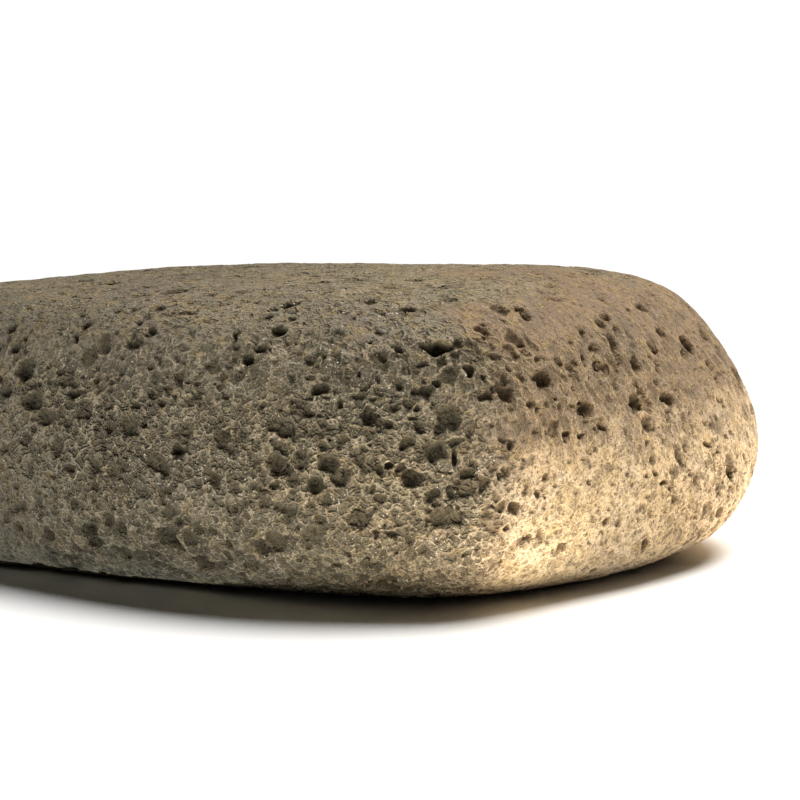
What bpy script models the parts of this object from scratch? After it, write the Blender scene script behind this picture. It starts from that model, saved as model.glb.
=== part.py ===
"""A pumice stone for rubbing skin, lying on its flattened underside.

It is one natural piece: a flat pebble of grey volcanic foam. Use has worn its faces until they run
smoothly into one another, and its bubbles lie open all over it as pits. Lengths at the top are in
millimetres, and the model is in metres with +Z up.
"""
import math

import bmesh
import bpy
import numpy as np
from mathutils import Matrix

STONE_NAME = "pumice_stone"
MM = 0.001

# Worn faces, each as the direction it looks in (degrees round from +X towards +Y, degrees above the
# level) and its distance from the stone's middle. Together they set the length, width and height.
WORN_FACES = {
    "near front facet": (-64, -3, 48.0),
    "near end": (-25, -17, 53.0),
    "front long side": (-103, 4, 39.5),
    "back long side": (88, 2, 37.5),
    "far end": (180, 0, 68.0),
    "near back corner": (39, 9, 66.5),
    "far back corner": (135, 0, 57.5),
    "far front corner": (-140, 2, 63.5),
    "top": (0, 92, 16.5),
    "front shoulder": (-95, 51, 33.0),
    "near shoulder": (-6, 42, 42.5),
    "back shoulder": (90, 48, 34.0),
    "far shoulder": (164, 48, 39.0),
    "front undercut": (-86, -58, 33.0),
    "near undercut": (-12, -56, 64.0),
    "near back undercut": (28, -42, 57.5),
    "back undercut": (86, -56, 26.0),
    "far undercut": (175, -48, 47.5),
    "underside": (0, -89, 19.5),
}
FACE_ROUNDING = 8        # the power that blends the faces: a higher one gives tighter edges
CRISP_FACES = 2          # the first faces, this many, meet in a crisp edge
CRISP_ROUNDING = 48      # the power that blends those
ALMOST_NOTHING = 1e-9
MIDDLE_HEIGHT = 17.5     # the stone's middle above the table, which cuts the flat it rests on
MESH_STRETCH = (57, 39, 17.5)   # half length, width and height, which spread the mesh evenly
MESH_STEPS = 13          # squares along each side of the cube that the pebble is shaped from

# The place that the pores below were read from, in the frame of the stone's middle. The picture is
# 800 pixels wide and high, and PICTURE_REACH is the distance, in pixels, that it would hang from
# the eye.
EYE_AZIMUTH, EYE_ELEVATION, EYE_DISTANCE = 26, 8, 267.0
EYE_TARGET = (21.6, -9.7, 2.8)
PICTURE_MIDDLE = 400
PICTURE_REACH = 2245
MOST_TURN_AWAY = 0.55    # a pore on a slanting face is lengthened by at most one over this

# Open pores that show in the picture: pixel across, pixel down, width and height as they are seen
# in millimetres, and a slant in degrees.
DEEP_PORES = (
    (437, 348, 3.6, 1.6, 8), (544, 379, 2.0, 2.4, 20), (507, 393, 1.8, 2.2, 0), (471, 369, 1.6, 1.6, 0),
    (412, 479, 2.7, 2.0, 0), (330, 465, 2.4, 2.2, 0), (274, 462, 1.6, 2.4, 30), (315, 488, 2.0, 2.1, 0),
    (319, 389, 2.2, 1.1, 12), (361, 395, 1.6, 1.1, 0), (406, 308, 2.0, 1.0, 0), (407, 443, 1.5, 1.5, 0),
    (431, 496, 1.8, 1.3, 0), (468, 474, 1.4, 1.4, 0), (516, 509, 1.6, 1.4, 0), (486, 397, 1.7, 1.0, 0),
    (308, 413, 1.6, 0.9, 0), (288, 513, 2.0, 1.1, 0), (214, 479, 1.6, 1.6, 0), (272, 308, 1.6, 0.9, 0),
    (615, 347, 1.4, 2.2, 0), (588, 406, 1.4, 1.9, 0), (636, 401, 2.2, 1.7, -35), (669, 399, 2.0, 1.9, 0),
    (636, 365, 1.3, 2.0, 0), (662, 332, 1.5, 1.5, 0), (601, 323, 1.9, 0.9, 0), (731, 472, 1.1, 1.8, 0),
    (73, 395, 2.0, 1.2, 0), (5, 391, 1.6, 1.3, 0), (14, 348, 1.8, 1.1, 25), (85, 325, 1.4, 1.1, 0),
    (68, 468, 1.6, 1.0, 0), (121, 530, 1.8, 1.3, 0), (171, 544, 4.0, 1.3, -35), (163, 466, 1.1, 1.6, 0),
    (370, 565, 2.2, 0.8, 0), (721, 512, 1.4, 1.4, 0), (134, 406, 1.4, 1.2, 0), (482, 329, 1.6, 0.9, 0),
    (404, 293, 1.5, 0.8, 0), (424, 365, 1.0, 1.0, 0), (319, 521, 1.3, 1.3, 0), (400, 387, 0.9, 1.3, 0),
    (284, 432, 0.9, 1.3, 0), (253, 486, 0.9, 1.3, 0), (649, 424, 1.1, 1.6, 20), (685, 352, 1.1, 1.6, 0),
    (586, 312, 1.7, 0.8, 0), (607, 369, 0.9, 1.9, 0), (602, 427, 1.0, 1.0, 0), (561, 548, 1.2, 1.2, 0),
    (150, 332, 1.5, 0.8, 0), (143, 421, 1.0, 1.0, 0), (75, 549, 1.0, 1.0, 0), (238, 555, 1.1, 0.9, 0),
)
SHALLOW_PORES = (
    (436, 452, 3.6, 2.8, 0), (330, 502, 2.8, 2.4, 0), (445, 519, 3.0, 2.8, 0), (273, 544, 2.6, 2.2, 0),
    (386, 424, 2.6, 1.3, 0), (491, 357, 1.9, 1.0, 0), (568, 532, 1.9, 1.2, 0), (445, 285, 2.4, 0.9, 0),
)
DEEP_SHAPE = (0.70, -0.12)     # depth of a bubble over its width, and how far it is sunk below the skin
SHALLOW_SHAPE = (0.55, -0.45)  # a scoop: the bubble's middle stands well above the skin

# Pores on the rest of the stone, which follow no picture. They are spread evenly and then jogged.
OTHER_PORES = 190
OTHER_PORE_TRIES = 620
OTHER_PORE_WIDTHS = (1.8, 4.2)
OTHER_PORE_RARITY = 2.5  # the higher, the fewer of them are wide
OTHER_PORE_OVALS = (0.6, 1.0)   # height over width
OTHER_PORE_JOG = 2.0     # the sideways jog of each
WELL_SEEN = 0.22         # how squarely the skin faces the eye where the picture is well read
SCATTER_SEED = 7
WALL_BETWEEN = 0.45      # the least width of stone left between two pores
REST_PATCH = (-6.0, -10.0, 9.0)   # across, along and radius of the clear patch to rest on

# The columns of a pore's row
PLACE, OUT, WIDE, SIZE, SHAPE = slice(0, 3), slice(3, 6), slice(6, 9), slice(9, 11), slice(11, 13)

ON_CUT = 0.01            # closer than this to the table's cut is on it
SIGHT_STEPS = 30         # steps along a line of sight, and the length of a probe ahead
SIGHT_PROBE = 0.01
CUTTER_SIDES = 6
CUTTER_RINGS = 4
TIDY_DISTANCE = 0.02     # points closer than this are one point
SMOOTH_BELOW = math.radians(38)
STONE_COLOUR = (0.19, 0.145, 0.10, 1)
STONE_ROUGHNESS = 0.92


def unit_directions(azimuths, elevations):
    """Unit vectors for azimuths from +X towards +Y and elevations above the level, in degrees."""
    around, above = np.radians(azimuths), np.radians(elevations)
    level = np.cos(above)
    return np.stack([level * np.cos(around), level * np.sin(around), np.sin(above)], axis=-1)


FACE_AZIMUTHS, FACE_ELEVATIONS, FACE_DISTANCES = np.array(list(WORN_FACES.values()), float).T
FACE_NORMALS = unit_directions(FACE_AZIMUTHS, FACE_ELEVATIONS)


def unit(vectors):
    """Each row at a length of one."""
    return vectors / np.linalg.norm(vectors, axis=-1, keepdims=True)


def row_dot(one, other):
    """The dot product of each pair of rows, as a column."""
    return (one * other).sum(axis=-1, keepdims=True)


def face_shares(points):
    """Each point's distance towards each face over the face's own distance, and the joint share of
    the faces that meet in the crisp edge, joined by their high power."""
    shares = np.maximum(points @ FACE_NORMALS.T, 0) / FACE_DISTANCES
    sums = (shares[:, :CRISP_FACES] ** CRISP_ROUNDING).sum(axis=1, keepdims=True)
    return shares, sums ** (1 / CRISP_ROUNDING)


def reach(points):
    """How far out each point lies, as a fraction of the surface's distance in its direction.

    It is the sum of the shares of the faces to the power FACE_ROUNDING, and then the root of it,
    with the crisp pair counted as one.
    """
    shares, crisp = face_shares(points)
    joined = np.hstack([crisp, shares[:, CRISP_FACES:]])
    return (joined ** FACE_ROUNDING).sum(axis=1) ** (1 / FACE_ROUNDING)


def outward(points):
    """The unit vectors that look straight out of the surface at points of it."""
    shares, crisp = face_shares(points)
    power = FACE_ROUNDING - 1
    within_crisp = shares[:, :CRISP_FACES] / np.maximum(crisp, ALMOST_NOTHING)
    pulls = np.hstack([crisp ** power * within_crisp ** (CRISP_ROUNDING - 1), shares[:, CRISP_FACES:] ** power])
    slopes = unit((pulls / FACE_DISTANCES) @ FACE_NORMALS)
    on_the_cut = points[:, 2:] < -MIDDLE_HEIGHT + ON_CUT
    return np.where(on_the_cut, (0.0, 0.0, -1.0), slopes)


def surface_points(directions):
    """The pebble's points in directions from its middle, cut off at the table."""
    points = directions / reach(directions)[:, None]
    cut = -MIDDLE_HEIGHT / np.minimum(points[:, 2:], -1)
    return points * np.minimum(cut, 1)


def picture_axes():
    """The eye's place, and its directions ahead, right and up."""
    back = unit_directions(EYE_AZIMUTH - 90, EYE_ELEVATION)
    right = unit(np.cross(-back, (0, 0, 1)))
    return np.array(EYE_TARGET) + back * EYE_DISTANCE, -back, right, np.cross(right, -back)


def seen_points(pixels):
    """The surface points that show at pixels of the picture.

    Along a line of sight the reach only bends upwards, so steps of Newton's rule from the eye
    close in on the near surface and never pass it.
    """
    eye, ahead, right, up = picture_axes()
    across, down = ((pixels - PICTURE_MIDDLE) / PICTURE_REACH).T[:, :, None]
    sights = ahead + right * across - up * down
    travelled = np.zeros((len(pixels), 1))
    for _ in range(SIGHT_STEPS):
        here = reach(eye + sights * travelled)
        change = (reach(eye + sights * (travelled + SIGHT_PROBE)) - here) / SIGHT_PROBE
        travelled -= ((here - 1) / change)[:, None]
    return eye + sights * travelled


def seen_pores(rows, shape):
    """Pores that show in the picture, lengthened where the surface slants away from the eye.

    Each row comes back as the pore's place, its outward and its wide direction, its real width
    and height, its depth over their mean, and how far it is sunk, as a share of its depth.
    """
    pixels, seen_size, slants = np.split(np.array(rows, float), (2, 4), axis=1)
    places = seen_points(pixels)
    out = outward(places)
    _, _, right, up = picture_axes()
    turns = np.radians(slants)
    wide_ways = right * np.cos(turns) + up * np.sin(turns)
    tall_ways = up * np.cos(turns) - right * np.sin(turns)
    wide = unit(wide_ways - out * row_dot(wide_ways, out))
    tall = np.cross(out, wide)
    facing = np.hstack([abs(row_dot(wide, wide_ways)), abs(row_dot(tall, tall_ways))])
    sizes = seen_size / np.maximum(facing, MOST_TURN_AWAY)
    return np.hstack([places, out, wide, sizes, np.tile(shape, (len(rows), 1))])


def well_seen(places, out):
    """Whether places of the skin face the eye squarely enough, and lie inside the picture."""
    eye, ahead, right, _ = picture_axes()
    sights = places - eye
    across = PICTURE_REACH * (sights @ right) / (sights @ ahead)
    facing = -row_dot(unit(sights), out)[:, 0]
    return (facing > WELL_SEEN) & (across > -PICTURE_MIDDLE)


def other_pores():
    """Pores for the rest of the stone: many small ones, few large ones, each oval and turned.

    A golden-angle spiral spreads them evenly over a ball, which is stretched to the pebble. Then
    each is jogged a little, and their order is shuffled.
    """
    chance = np.random.default_rng(SCATTER_SEED)
    order = chance.permutation(OTHER_PORE_TRIES)
    level = 1 - (2 * order + 1) / OTHER_PORE_TRIES
    around = order * math.pi * (3 - math.sqrt(5))
    circle = np.sqrt(1 - level ** 2)
    ball = np.stack([circle * np.cos(around), circle * np.sin(around), level], axis=-1)
    jogs = chance.normal(0, OTHER_PORE_JOG, ball.shape)
    places = surface_points(unit(ball * MESH_STRETCH + jogs))
    out = outward(places)
    wide = unit(np.cross(out, chance.normal(size=ball.shape)))
    least, most = OTHER_PORE_WIDTHS
    width = least + (most - least) * chance.random((len(ball), 1)) ** OTHER_PORE_RARITY
    height = width * chance.uniform(*OTHER_PORE_OVALS, width.shape)
    pores = np.hstack([places, out, wide, width, height, np.tile(DEEP_SHAPE, (len(ball), 1))])
    return pores[~well_seen(places, out)]


def has_room(pore, kept):
    """Whether a pore leaves a wall to each pore kept so far and stays off the patch to rest on."""
    size = pore[SIZE].mean()
    across, along, radius = REST_PATCH
    if pore[2] < 0 and math.hypot(pore[0] - across, pore[1] - along) < radius + size:
        return False
    return all(
        np.linalg.norm(pore[PLACE] - other[PLACE]) > (size + other[SIZE].mean()) / 2 + WALL_BETWEEN
        for other in kept)


def chosen_pores():
    """The pores to cut: those of the picture first, then the others while there is room."""
    pictured = np.vstack([seen_pores(DEEP_PORES, DEEP_SHAPE), seen_pores(SHALLOW_PORES, SHALLOW_SHAPE)])
    kept = []
    for pore in pictured:
        if has_room(pore, kept):
            kept.append(pore)
    wanted = len(kept) + OTHER_PORES
    for pore in other_pores():
        if len(kept) < wanted and has_room(pore, kept):
            kept.append(pore)
    return kept


def new_object(name, mesh_maker):
    """A linked object with the mesh that a builder function fills in, in metres."""
    shape = bmesh.new()
    mesh_maker(shape)
    bmesh.ops.scale(shape, vec=(MM, MM, MM), verts=shape.verts)
    mesh = bpy.data.meshes.new(name)
    shape.to_mesh(mesh)
    shape.free()
    thing = bpy.data.objects.new(name, mesh)
    bpy.context.collection.objects.link(thing)
    return thing


def fill_pebble(shape):
    """The unpitted pebble: a cube's even squares, each corner moved out to the worn surface."""
    bmesh.ops.create_cube(shape, size=2)
    bmesh.ops.subdivide_edges(shape, edges=shape.edges[:], cuts=MESH_STEPS - 1, use_grid_fill=True)
    cube = np.array([corner.co for corner in shape.verts])
    ball = unit(np.tan(cube * math.pi / 4))
    for corner, place in zip(shape.verts, surface_points(unit(ball * MESH_STRETCH))):
        corner.co = place
    bmesh.ops.triangulate(shape, faces=shape.faces[:])


def fill_bubbles(shape):
    """One ball for each pore, flattened to its oval and sunk to its depth."""
    for pore in chosen_pores():
        (width, height), (depth_share, sunk) = pore[SIZE], pore[SHAPE]
        depth = depth_share * (width + height) / 2
        out, wide = pore[OUT], pore[WIDE]
        middle = pore[PLACE] - out * depth * sunk
        axes = [wide * width / 2, np.cross(out, wide) * height / 2, out * depth, middle]
        bmesh.ops.create_uvsphere(
            shape, u_segments=CUTTER_SIDES, v_segments=CUTTER_RINGS, radius=1,
            matrix=Matrix(np.column_stack(axes).tolist()).to_4x4())


def stone_material():
    """Dull grey-brown volcanic foam."""
    material = bpy.data.materials.new("grey pumice")
    material.use_nodes = True
    surface = material.node_tree.nodes["Principled BSDF"]
    surface.inputs["Base Color"].default_value = STONE_COLOUR
    surface.inputs["Roughness"].default_value = STONE_ROUGHNESS
    return material


def cut_pores(stone, bubbles):
    """Cuts every bubble out of the stone and keeps the result as the stone's own mesh."""
    cut = stone.modifiers.new("open pores", "BOOLEAN")
    cut.operation = "DIFFERENCE"
    cut.solver = "EXACT"
    cut.object = bubbles
    bubbles.hide_render = True
    bubbles.display_type = "WIRE"
    graph = bpy.context.evaluated_depsgraph_get()
    stone.data = bpy.data.meshes.new_from_object(stone.evaluated_get(graph))
    stone.modifiers.clear()


def tidy_mesh(mesh):
    """Splits the faces into triangles and joins the points that the cut left almost doubled."""
    shape = bmesh.new()
    shape.from_mesh(mesh)
    bmesh.ops.triangulate(shape, faces=shape.faces[:])
    bmesh.ops.remove_doubles(shape, verts=shape.verts[:], dist=TIDY_DISTANCE * MM)
    shape.to_mesh(mesh)
    shape.free()
    mesh.shade_smooth()
    mesh.set_sharp_from_angle(angle=SMOOTH_BELOW)


def stand_on_origin(mesh):
    """Moves the mesh so that the origin is on the table under its middle."""
    corners = np.array([corner.co for corner in mesh.vertices])
    low, high = corners.min(axis=0), corners.max(axis=0)
    middle = (low + high) / 2
    mesh.transform(Matrix.Translation((-middle[0], -middle[1], -low[2])))


def main():
    for thing in list(bpy.data.objects):
        bpy.data.objects.remove(thing)
    stone = new_object(STONE_NAME, fill_pebble)
    stone.data.materials.append(stone_material())
    bubbles = new_object("bubbles to cut", fill_bubbles)
    cut_pores(stone, bubbles)
    tidy_mesh(stone.data)
    stand_on_origin(stone.data)


main()
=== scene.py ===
# %% [markdown]
# # A pumice stone
#
# Pumice is rock foam: lava that was full of gas when it set. This one is a flat pebble for rubbing
# skin. Use has worn its faces until they run into one another, and wherever a bubble was cut open
# there is a pore. This lesson makes its fine surface around a plain solid model that is already
# the right size, and then lights and frames it as a small still life.

import math
import time

import bpy
import numpy as np
from mathutils import Matrix, Quaternion, Vector


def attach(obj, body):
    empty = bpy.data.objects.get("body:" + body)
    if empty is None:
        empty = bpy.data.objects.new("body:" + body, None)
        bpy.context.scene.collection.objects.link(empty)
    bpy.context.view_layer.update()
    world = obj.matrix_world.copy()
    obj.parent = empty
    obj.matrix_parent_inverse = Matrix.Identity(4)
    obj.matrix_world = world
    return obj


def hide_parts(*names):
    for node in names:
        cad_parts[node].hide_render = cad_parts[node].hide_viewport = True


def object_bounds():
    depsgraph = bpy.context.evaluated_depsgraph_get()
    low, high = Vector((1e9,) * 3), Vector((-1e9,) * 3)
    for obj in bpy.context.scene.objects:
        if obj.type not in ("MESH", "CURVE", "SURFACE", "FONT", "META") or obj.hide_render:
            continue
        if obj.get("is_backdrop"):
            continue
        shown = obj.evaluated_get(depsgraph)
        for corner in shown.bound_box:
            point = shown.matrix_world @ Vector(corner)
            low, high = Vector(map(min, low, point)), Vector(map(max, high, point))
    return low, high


MM = 0.001  # a millimetre in metres

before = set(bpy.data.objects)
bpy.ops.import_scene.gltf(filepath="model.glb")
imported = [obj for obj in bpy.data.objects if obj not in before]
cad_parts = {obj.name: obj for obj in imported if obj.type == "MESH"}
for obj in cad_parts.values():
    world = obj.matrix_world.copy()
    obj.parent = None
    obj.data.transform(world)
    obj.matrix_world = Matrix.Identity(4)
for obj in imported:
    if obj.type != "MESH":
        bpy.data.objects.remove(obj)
solid_low, solid_high = (np.array(corner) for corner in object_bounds())
started = time.perf_counter()
print("solid model, mm:", np.round((solid_high - solid_low) / MM, 1))

# %% [markdown]
# ## The worn form
#
# A pebble could be sculpted by hand, or be a ball pushed about by noise. Here it is a formula,
# because the stone really is a set of faces that were each rubbed flat and then blended. Every
# face is a direction and a distance. A point's share of a face is how far it lies that way,
# over the face's distance, and the shares' high power sum gives one smooth surface. The faces are
# those of the solid model, so both have the same outline. Lengths are in millimetres here,
# measured from the stone's middle.

# %% The worn faces
# Azimuth and elevation in degrees, and distance. The first two faces meet in the crisp edge
WORN_FACES = {
    "near front facet": (-64, -3, 48.0),
    "near end": (-25, -17, 53.0),
    "front long side": (-103, 4, 39.5),
    "back long side": (88, 2, 37.5),
    "far end": (180, 0, 68.0),
    "near back corner": (39, 9, 66.5),
    "far back corner": (135, 0, 57.5),
    "far front corner": (-140, 2, 63.5),
    "top": (0, 92, 16.5),
    "front shoulder": (-95, 51, 33.0),
    "near shoulder": (-6, 42, 42.5),
    "back shoulder": (90, 48, 34.0),
    "far shoulder": (164, 48, 39.0),
    "front undercut": (-86, -58, 33.0),
    "near undercut": (-12, -56, 64.0),
    "near back undercut": (28, -42, 57.5),
    "back undercut": (86, -56, 26.0),
    "far undercut": (175, -48, 47.5),
    "underside": (0, -89, 19.5),
}
FACE_ROUNDING = 8
CRISP_FACES, CRISP_ROUNDING = 2, 48
ALMOST_NOTHING = 1e-9
MIDDLE_HEIGHT = 17.5  # of the stone's middle above the table
FLAT_MARGIN = 0.01
LEAST_DROP = 1.0      # below the middle, from where a point may have to be drawn back to the table
STRETCH = np.array((57.0, 39.0, 17.5))


def unit_directions(azimuths, elevations):
    """Unit vectors for azimuths from +X towards +Y and elevations above the level, in degrees."""
    around, above = np.radians(azimuths), np.radians(elevations)
    level = np.cos(above)
    return np.stack([level * np.cos(around), level * np.sin(around), np.sin(above)], axis=-1)


FACE_AZIMUTHS, FACE_ELEVATIONS, FACE_DISTANCES = np.array(list(WORN_FACES.values()), float).T
FACE_NORMALS = unit_directions(FACE_AZIMUTHS, FACE_ELEVATIONS)


def unit(vectors):
    """Each row at a length of one."""
    return vectors / np.linalg.norm(vectors, axis=-1, keepdims=True)


def row_dot(one, other):
    """The dot product of each pair of rows, as a column."""
    return (one * other).sum(axis=-1, keepdims=True)


def face_shares(points):
    """Each point's distance towards each face over the face's own distance, and the joint share of
    the first two faces: the root of the sum of theirs, each to the power CRISP_ROUNDING."""
    shares = np.maximum(points @ FACE_NORMALS.T, 0) / FACE_DISTANCES
    sums = (shares[:, :CRISP_FACES] ** CRISP_ROUNDING).sum(axis=1, keepdims=True)
    return shares, sums ** (1 / CRISP_ROUNDING)


def reach(points):
    """How far out each point lies: the root of the sum of its shares, each to the power
    FACE_ROUNDING. It is 1 on the surface and less inside."""
    shares, crisp = face_shares(points)
    joined = np.hstack([crisp, shares[:, CRISP_FACES:]])
    return (joined ** FACE_ROUNDING).sum(axis=1) ** (1 / FACE_ROUNDING)


def slope(points):
    """The reach's slope, which looks straight out: each face pulls along its own direction, by its
    share to the power less one, over its distance."""
    shares, crisp = face_shares(points)
    power = FACE_ROUNDING - 1
    within_crisp = shares[:, :CRISP_FACES] / np.maximum(crisp, ALMOST_NOTHING)
    crisp_pulls = crisp ** power * within_crisp ** (CRISP_ROUNDING - 1)
    pulls = np.hstack([crisp_pulls, shares[:, CRISP_FACES:] ** power])
    return (pulls / FACE_DISTANCES) @ FACE_NORMALS / reach(points)[:, None] ** power


def outward(points):
    """The slope's direction, and down on the flat that the table cuts."""
    on_the_flat = points[:, 2:] < -MIDDLE_HEIGHT + FLAT_MARGIN
    return np.where(on_the_flat, (0.0, 0.0, -1.0), unit(slope(points)))


def surface_points(directions):
    """A direction over its reach is a point of the surface. Below the table it is drawn back
    along its own direction."""
    points = directions / reach(directions)[:, None]
    cut = -MIDDLE_HEIGHT / np.minimum(points[:, 2:], -LEAST_DROP)
    return points * np.minimum(cut, 1)


print(f"worn faces: {len(WORN_FACES)}, {FACE_DISTANCES.min()} to {FACE_DISTANCES.max()} mm out")

# %% [markdown]
# ## The grid that carries the surface
#
# A globe's grid of latitudes crowds at its poles. Six square grids, one for each side of a cube,
# have no poles: each side is a function of two parameters, blown up to a ball, stretched to the
# stone's proportions, and cast onto the worn form. The sides share the points of their common
# edges, so the skin is closed. The lines are drawn together a little towards the near front
# corner, where the stone is closest to the camera.

# %% Make the grid
GRID_STEPS = 400
GATHERED = np.array((0.25, -0.2, 0.0))


def cube_grid(steps):
    """The six sides' points as whole numbers (0 to steps), each counted once, and the squares."""
    first, second = np.meshgrid(np.arange(steps + 1), np.arange(steps + 1), indexing="ij")
    sides = np.empty((6, steps + 1, steps + 1, 3), np.int64)
    for side in range(6):
        axis, end = side // 2, side % 2
        sides[side, :, :, axis] = end * steps
        sides[side, :, :, (axis + 1) % 3] = first if end else second
        sides[side, :, :, (axis + 2) % 3] = second if end else first
    codes = sides @ np.array((1, steps + 1, (steps + 1) ** 2))
    _, firsts, index = np.unique(codes, return_index=True, return_inverse=True)
    index = index.reshape(codes.shape)
    around = (index[:, :-1, :-1], index[:, 1:, :-1], index[:, 1:, 1:], index[:, :-1, 1:])
    return sides.reshape(-1, 3)[firsts], np.stack(around, axis=-1).reshape(-1, 4)


def grid_directions(corners, steps):
    """Whole numbers become -1 to 1, the lines are gathered, and a tangent evens out the angles."""
    share = corners / steps * 2 - 1
    share = share + GATHERED * (1 - share ** 2)
    return unit(unit(np.tan(share * math.pi / 4)) * STRETCH)


grid_corners, squares = cube_grid(GRID_STEPS)
skin = surface_points(grid_directions(grid_corners, GRID_STEPS))
skin_out = outward(skin)
print(f"grid: {len(skin)} points, {len(squares)} squares, {time.perf_counter() - started:.1f} s")

# %% [markdown]
# ## Where the large pores are
#
# The photograph shows about a hundred pores well enough to place one by one. Their places were
# read as pixels, so each is cast along its line of sight onto the form. A pore on a face
# that slants away looks squashed, so it is made longer again. The rest of the stone gets pores
# of its own, scattered evenly and jogged. The larger ones are the same as in the solid model.

# %% The eye and the pores that were read
EYE_AZIMUTH, EYE_ELEVATION, EYE_DISTANCE = 26, 8, 267.0
EYE_TARGET = (21.6, -9.7, 2.8)
PICTURE_MIDDLE = 400
PICTURE_REACH = 2245
MOST_TURN_AWAY = 0.55

# Pixel across, pixel down, width and height as seen in millimetres, slant in degrees
DEEP_PORES = (
    (437, 348, 3.6, 1.6, 8), (544, 379, 2.0, 2.4, 20), (507, 393, 1.8, 2.2, 0),
    (471, 369, 1.6, 1.6, 0), (412, 479, 2.7, 2.0, 0), (330, 465, 2.4, 2.2, 0),
    (274, 462, 1.6, 2.4, 30), (315, 488, 2.0, 2.1, 0), (319, 389, 2.2, 1.1, 12),
    (361, 395, 1.6, 1.1, 0), (406, 308, 2.0, 1.0, 0), (407, 443, 1.5, 1.5, 0),
    (431, 496, 1.8, 1.3, 0), (468, 474, 1.4, 1.4, 0), (516, 509, 1.6, 1.4, 0),
    (486, 397, 1.7, 1.0, 0), (308, 413, 1.6, 0.9, 0), (288, 513, 2.0, 1.1, 0),
    (214, 479, 1.6, 1.6, 0), (272, 308, 1.6, 0.9, 0), (615, 347, 1.4, 2.2, 0),
    (588, 406, 1.4, 1.9, 0), (636, 401, 2.2, 1.7, -35), (669, 399, 2.0, 1.9, 0),
    (636, 365, 1.3, 2.0, 0), (662, 332, 1.5, 1.5, 0), (601, 323, 1.9, 0.9, 0),
    (731, 472, 1.1, 1.8, 0), (73, 395, 2.0, 1.2, 0), (5, 391, 1.6, 1.3, 0), (14, 348, 1.8, 1.1, 25),
    (85, 325, 1.4, 1.1, 0), (68, 468, 1.6, 1.0, 0), (121, 530, 1.8, 1.3, 0),
    (171, 544, 4.0, 1.3, -35), (163, 466, 1.1, 1.6, 0), (370, 565, 2.2, 0.8, 0),
    (721, 512, 1.4, 1.4, 0), (134, 406, 1.4, 1.2, 0), (482, 329, 1.6, 0.9, 0),
    (404, 293, 1.5, 0.8, 0), (424, 365, 1.0, 1.0, 0), (319, 521, 1.3, 1.3, 0),
    (400, 387, 0.9, 1.3, 0), (284, 432, 0.9, 1.3, 0), (253, 486, 0.9, 1.3, 0),
    (649, 424, 1.1, 1.6, 20), (685, 352, 1.1, 1.6, 0), (586, 312, 1.7, 0.8, 0),
    (607, 369, 0.9, 1.9, 0), (602, 427, 1.0, 1.0, 0), (561, 548, 1.2, 1.2, 0),
    (150, 332, 1.5, 0.8, 0), (143, 421, 1.0, 1.0, 0), (75, 549, 1.0, 1.0, 0),
    (238, 555, 1.1, 0.9, 0),
)
SHALLOW_PORES = (
    (436, 452, 3.6, 2.8, 0), (330, 502, 2.8, 2.4, 0), (445, 519, 3.0, 2.8, 0),
    (273, 544, 2.6, 2.2, 0), (386, 424, 2.6, 1.3, 0), (491, 357, 1.9, 1.0, 0),
    (568, 532, 1.9, 1.2, 0), (445, 285, 2.4, 0.9, 0),
)
# Pores too small for the solid model
FINER_PORES = (
    (340, 404, 0.9, 1.0, 0), (233, 337, 0.7, 1.5, 0), (273, 485, 1.0, 1.0, 0),
    (351, 520, 0.9, 0.9, 0), (360, 519, 0.7, 0.7, 0), (337, 567, 1.3, 0.7, 0),
    (323, 444, 0.8, 0.8, 0), (452, 496, 1.0, 1.0, 0), (454, 457, 0.7, 2.2, 5),
    (391, 536, 1.5, 0.7, 0), (512, 447, 0.8, 0.9, 0), (539, 493, 0.9, 1.0, 0),
    (529, 538, 1.0, 1.0, 0), (537, 429, 0.6, 0.9, 0), (500, 476, 0.5, 1.1, 10),
    (546, 478, 0.9, 0.9, 0), (390, 467, 0.9, 0.9, 0), (380, 470, 1.1, 1.1, 0),
    (584, 333, 1.1, 1.1, 0), (595, 347, 1.0, 1.0, 0), (584, 361, 0.7, 1.1, 0),
    (569, 367, 1.1, 1.1, 0), (569, 433, 1.0, 1.0, 0), (527, 316, 1.3, 1.1, 0),
    (608, 521, 0.9, 0.9, 0), (613, 554, 0.8, 0.6, 0), (590, 483, 0.6, 0.6, 0),
    (675, 498, 0.9, 0.9, 0), (665, 483, 1.1, 0.8, 0), (646, 547, 1.1, 1.1, 0),
    (708, 444, 1.1, 1.1, 0), (129, 344, 1.0, 1.2, 0), (158, 361, 0.7, 0.7, 0),
    (149, 392, 0.7, 1.1, 0), (96, 380, 0.9, 0.9, 0), (368, 416, 1.7, 1.7, 0),
)
# A pore's half depth over its mean size, and how far down its middle lies over that half depth
DEEP_SHAPE = (0.70, -0.12)
SHALLOW_SHAPE = (0.55, -0.45)
FINER_SHAPE = (0.75, 0.05)

# The columns of a pore's row
PLACE, OUT, WIDE, SIZE, SHAPE = slice(0, 3), slice(3, 6), slice(6, 9), slice(9, 11), slice(11, 13)
print(f"pores read: {len(DEEP_PORES)} deep, {len(SHALLOW_PORES)} shallow, {len(FINER_PORES)} finer")

# %% Cast the read pores onto the form
SIGHT_STEPS = 30
SIGHT_PROBE = 0.01


def picture_axes():
    """The eye's place, and its directions ahead, right and up."""
    back = unit_directions(EYE_AZIMUTH - 90, EYE_ELEVATION)
    right = unit(np.cross(-back, (0, 0, 1)))
    return np.array(EYE_TARGET) + back * EYE_DISTANCE, -back, right, np.cross(right, -back)


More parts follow.
